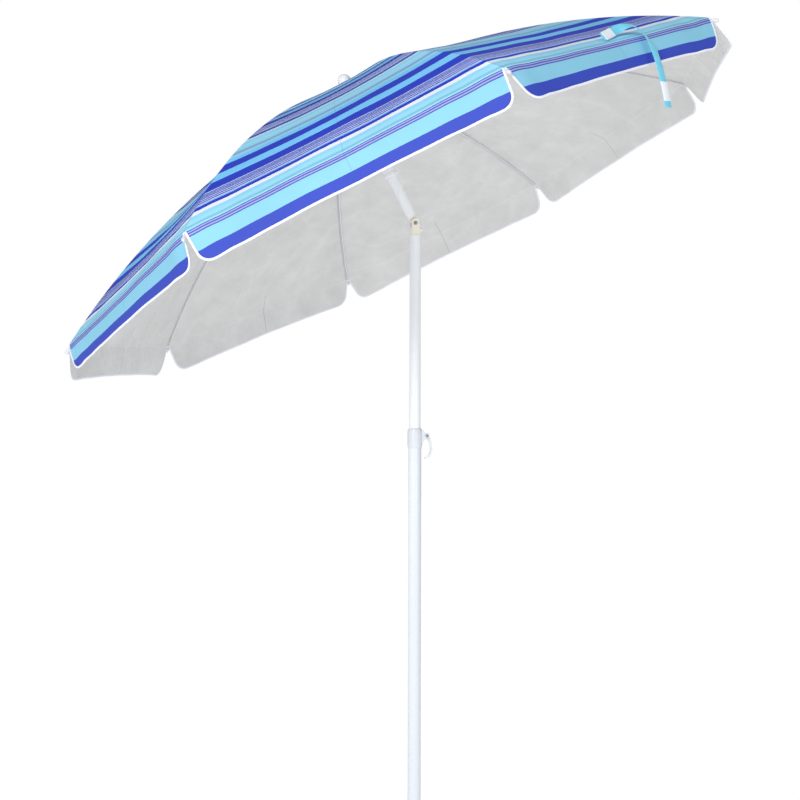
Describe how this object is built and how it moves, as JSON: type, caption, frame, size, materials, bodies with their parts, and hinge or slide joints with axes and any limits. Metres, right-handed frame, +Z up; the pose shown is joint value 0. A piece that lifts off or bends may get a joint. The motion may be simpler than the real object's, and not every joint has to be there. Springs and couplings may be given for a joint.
{
  "type": "beach umbrella",
  "caption": "Tilting beach umbrella: striped fabric canopy with a drop valance on folding wire ribs, over a telescoping white pole with a collar clamp and a ground spike",
  "frame": {"origin": "centre of the blunt end of the ground spike, on the pole's axis", "axes": "+Z up the pole; the tilt hinge runs along Y and the head leans towards -X; the clamp lever is on +X"},
  "size_m": [1.615, 1.773, 2.1026],
  "materials": {
    "white_enamel": "glossy white stoved enamel on steel tube",
    "white_plastic": "semi-gloss moulded white plastic",
    "cream_plastic": "ivory moulded plastic, slightly yellowed",
    "finial_plastic": "milky translucent moulded plastic",
    "steel": "dark zinc-plated rivet",
    "rib_wire": "white-coated spring wire",
    "striped_fabric": "printed woven polyester in concentric blue, cyan, violet and white stripes, silver coating inside",
    "cyan_webbing": "woven cyan tape with white hook-and-loop patches"
  },
  "bodies": {
    "ground_section": {"lower_pole": "white_enamel", "ground_spike": "white_plastic", "height_collar": "white_plastic", "clamp_pin": "steel"},
    "lever": {"clamp_lever": "white_plastic"},
    "guide": {"guide_bush": "white_plastic"},
    "middle_section": {"middle_tube": "white_enamel", "tilt_fork": "cream_plastic"},
    "fork_button": {"tilt_button": "cream_plastic"},
    "hinge_pin": {"tilt_pin": "steel"},
    "head_section": {"tilt_knuckle": "cream_plastic", "upper_pole": "white_enamel", "crown_notch": "white_plastic", "finial": "finial_plastic"},
    "runner_body": {"runner": "white_plastic"},
    "snap_button": {"runner_button": "white_plastic"},
    "rib_1_body": {"rib_1": "rib_wire", "rib_tip_1": "white_plastic", "canopy_1": "striped_fabric"},
    "stretcher_1_body": {"stretcher_1": "rib_wire"},
    "rib_2_body": {"rib_2": "rib_wire", "rib_tip_2": "white_plastic", "canopy_2": "striped_fabric"},
    "stretcher_2_body": {"stretcher_2": "rib_wire"},
    "rib_3_body": {"rib_3": "rib_wire", "rib_tip_3": "white_plastic", "canopy_3": "striped_fabric"},
    "stretcher_3_body": {"stretcher_3": "rib_wire"},
    "rib_4_body": {"rib_4": "rib_wire", "rib_tip_4": "white_plastic", "canopy_4": "striped_fabric"},
    "stretcher_4_body": {"stretcher_4": "rib_wire"},
    "rib_5_body": {"rib_5": "rib_wire", "rib_tip_5": "white_plastic", "canopy_5": "striped_fabric"},
    "stretcher_5_body": {"stretcher_5": "rib_wire"},
    "rib_6_body": {"rib_6": "rib_wire", "rib_tip_6": "white_plastic", "canopy_6": "striped_fabric"},
    "stretcher_6_body": {"stretcher_6": "rib_wire"},
    "rib_7_body": {"rib_7": "rib_wire", "rib_tip_7": "white_plastic", "canopy_7": "striped_fabric"},
    "stretcher_7_body": {"stretcher_7": "rib_wire"},
    "rib_8_body": {"rib_8": "rib_wire", "rib_tip_8": "white_plastic", "canopy_8": "striped_fabric", "tie_strap": "cyan_webbing"},
    "stretcher_8_body": {"stretcher_8": "rib_wire"}
  },
  "joints": [
    {"name": "height_slide", "type": "slide", "parent": "ground_section", "child": "guide", "axis": [0, 0, 1], "range_m": [-0.45, 0.1]},
    {"name": "pole_swivel", "type": "hinge", "parent": "guide", "child": "middle_section", "pos_m": [0, 0, 1], "axis": [0, 0, 1], "continuous": true},
    {"name": "clamp_swing", "type": "hinge", "parent": "ground_section", "child": "lever", "pos_m": [0.029, 0, 1.104], "axis": [0, -1, 0], "range_deg": [0, 120]},
    {"name": "pole_straighten", "type": "hinge", "parent": "middle_section", "child": "hinge_pin", "pos_m": [0, 0, 1.64], "axis": [0, 1, 0], "range_deg": [0, 26.5]},
    {"name": "tilt", "type": "hinge", "parent": "hinge_pin", "child": "head_section", "pos_m": [0, 0, 1.64], "axis": [0, -1, 0], "range_deg": [-26.5, 0]},
    {"name": "tilt_button_press", "type": "slide", "parent": "middle_section", "child": "fork_button", "axis": [1, 0, 0], "range_m": [-0.003, 0], "stiffness_N_per_m": 300, "springref_m": 0.002},
    {"name": "runner_slide", "type": "slide", "parent": "head_section", "child": "runner_body", "axis": [-0.4462, 0, 0.8949], "range_m": [-0.117, 0]},
    {"name": "runner_button_press", "type": "slide", "parent": "runner_body", "child": "snap_button", "axis": [0.7687, 0.512, 0.3833], "range_m": [-0.0025, 0], "stiffness_N_per_m": 300, "springref_m": 0.002},
    {"name": "canopy_fold", "type": "hinge", "parent": "head_section", "child": "rib_1_body", "pos_m": [-0.14961, 0.00274, 1.9822], "axis": [-0.1292, 0.9895, -0.0644], "range_deg": [0, 66], "deforming": ["canopy_1", "rib_1"]},
    {"name": "rib_2_fold", "type": "hinge", "parent": "head_section", "child": "rib_2_body", "pos_m": [-0.15627, 0.01523, 1.97888], "axis": [-0.7175, 0.5976, -0.3578], "range_deg": [0, 66], "deforming": ["canopy_2", "rib_2"]},
    {"name": "rib_3_fold", "type": "hinge", "parent": "head_section", "child": "rib_3_body", "pos_m": [-0.16889, 0.0188, 1.97259], "axis": [-0.8856, -0.1444, -0.4415], "range_deg": [0, 66], "deforming": ["canopy_3", "rib_3"]},
    {"name": "rib_4_fold", "type": "hinge", "parent": "head_section", "child": "rib_4_body", "pos_m": [-0.18007, 0.01136, 1.96701], "axis": [-0.5348, -0.8018, -0.2667], "range_deg": [0, 66], "deforming": ["canopy_4", "rib_4"]},
    {"name": "rib_5_fold", "type": "hinge", "parent": "head_section", "child": "rib_5_body", "pos_m": [-0.18326, -0.00274, 1.96542], "axis": [0.1292, -0.9895, 0.0644], "range_deg": [0, 66], "deforming": ["canopy_5", "rib_5"]},
    {"name": "rib_6_fold", "type": "hinge", "parent": "head_section", "child": "rib_6_body", "pos_m": [-0.17659, -0.01523, 1.96874], "axis": [0.7175, -0.5976, 0.3578], "range_deg": [0, 66], "deforming": ["canopy_6", "rib_6"]},
    {"name": "rib_7_fold", "type": "hinge", "parent": "head_section", "child": "rib_7_body", "pos_m": [-0.16398, -0.0188, 1.97503], "axis": [0.8856, 0.1444, 0.4415], "range_deg": [0, 66], "deforming": ["canopy_7", "rib_7"]},
    {"name": "rib_8_fold", "type": "hinge", "parent": "head_section", "child": "rib_8_body", "pos_m": [-0.1528, -0.01136, 1.98061], "axis": [0.5348, 0.8018, 0.2667], "range_deg": [0, 66], "deforming": ["canopy_8", "rib_8", "tie_strap"]},
    {"name": "stretcher_1_fold", "type": "hinge", "parent": "runner_body", "child": "stretcher_1_body", "pos_m": [-0.07957, 0.0031, 1.84727], "axis": [-0.1292, 0.9895, -0.0644], "range_deg": [0, 98]},
    {"name": "stretcher_2_fold", "type": "hinge", "parent": "runner_body", "child": "stretcher_2_body", "pos_m": [-0.08711, 0.01724, 1.84351], "axis": [-0.7175, 0.5976, -0.3578], "range_deg": [0, 98]},
    {"name": "stretcher_3_fold", "type": "hinge", "parent": "runner_body", "child": "stretcher_3_body", "pos_m": [-0.10139, 0.02127, 1.8364], "axis": [-0.8856, -0.1444, -0.4415], "range_deg": [0, 98]},
    {"name": "stretcher_4_fold", "type": "hinge", "parent": "runner_body", "child": "stretcher_4_body", "pos_m": [-0.11404, 0.01285, 1.83009], "axis": [-0.5348, -0.8018, -0.2667], "range_deg": [0, 98]},
    {"name": "stretcher_5_fold", "type": "hinge", "parent": "runner_body", "child": "stretcher_5_body", "pos_m": [-0.11765, -0.0031, 1.82829], "axis": [0.1292, -0.9895, 0.0644], "range_deg": [0, 98]},
    {"name": "stretcher_6_fold", "type": "hinge", "parent": "runner_body", "child": "stretcher_6_body", "pos_m": [-0.11011, -0.01724, 1.83205], "axis": [0.7175, -0.5976, 0.3578], "range_deg": [0, 98]},
    {"name": "stretcher_7_fold", "type": "hinge", "parent": "runner_body", "child": "stretcher_7_body", "pos_m": [-0.09583, -0.02127, 1.83916], "axis": [0.8856, 0.1444, 0.4415], "range_deg": [0, 98]},
    {"name": "stretcher_8_fold", "type": "hinge", "parent": "runner_body", "child": "stretcher_8_body", "pos_m": [-0.08318, -0.01285, 1.84547], "axis": [0.5348, 0.8018, 0.2667], "range_deg": [0, 98]}
  ],
  "couplings": [
    {"joint": "rib_2_fold", "follows": "canopy_fold", "ratio": 1},
    {"joint": "rib_3_fold", "follows": "canopy_fold", "ratio": 1},
    {"joint": "rib_4_fold", "follows": "canopy_fold", "ratio": 1},
    {"joint": "rib_5_fold", "follows": "canopy_fold", "ratio": 1},
    {"joint": "rib_6_fold", "follows": "canopy_fold", "ratio": 1},
    {"joint": "rib_7_fold", "follows": "canopy_fold", "ratio": 1},
    {"joint": "rib_8_fold", "follows": "canopy_fold", "ratio": 1},
    {"joint": "stretcher_1_fold", "follows": "canopy_fold", "ratio": 1.48},
    {"joint": "stretcher_2_fold", "follows": "canopy_fold", "ratio": 1.48},
    {"joint": "stretcher_3_fold", "follows": "canopy_fold", "ratio": 1.48},
    {"joint": "stretcher_4_fold", "follows": "canopy_fold", "ratio": 1.48},
    {"joint": "stretcher_5_fold", "follows": "canopy_fold", "ratio": 1.48},
    {"joint": "stretcher_6_fold", "follows": "canopy_fold", "ratio": 1.48},
    {"joint": "stretcher_7_fold", "follows": "canopy_fold", "ratio": 1.48},
    {"joint": "stretcher_8_fold", "follows": "canopy_fold", "ratio": 1.48},
    {"joint": "runner_slide", "follows": "canopy_fold", "m_per_rad": -0.10157},
    {"joint": "pole_straighten", "follows": "canopy_fold", "ratio": 0.4015}
  ]
}
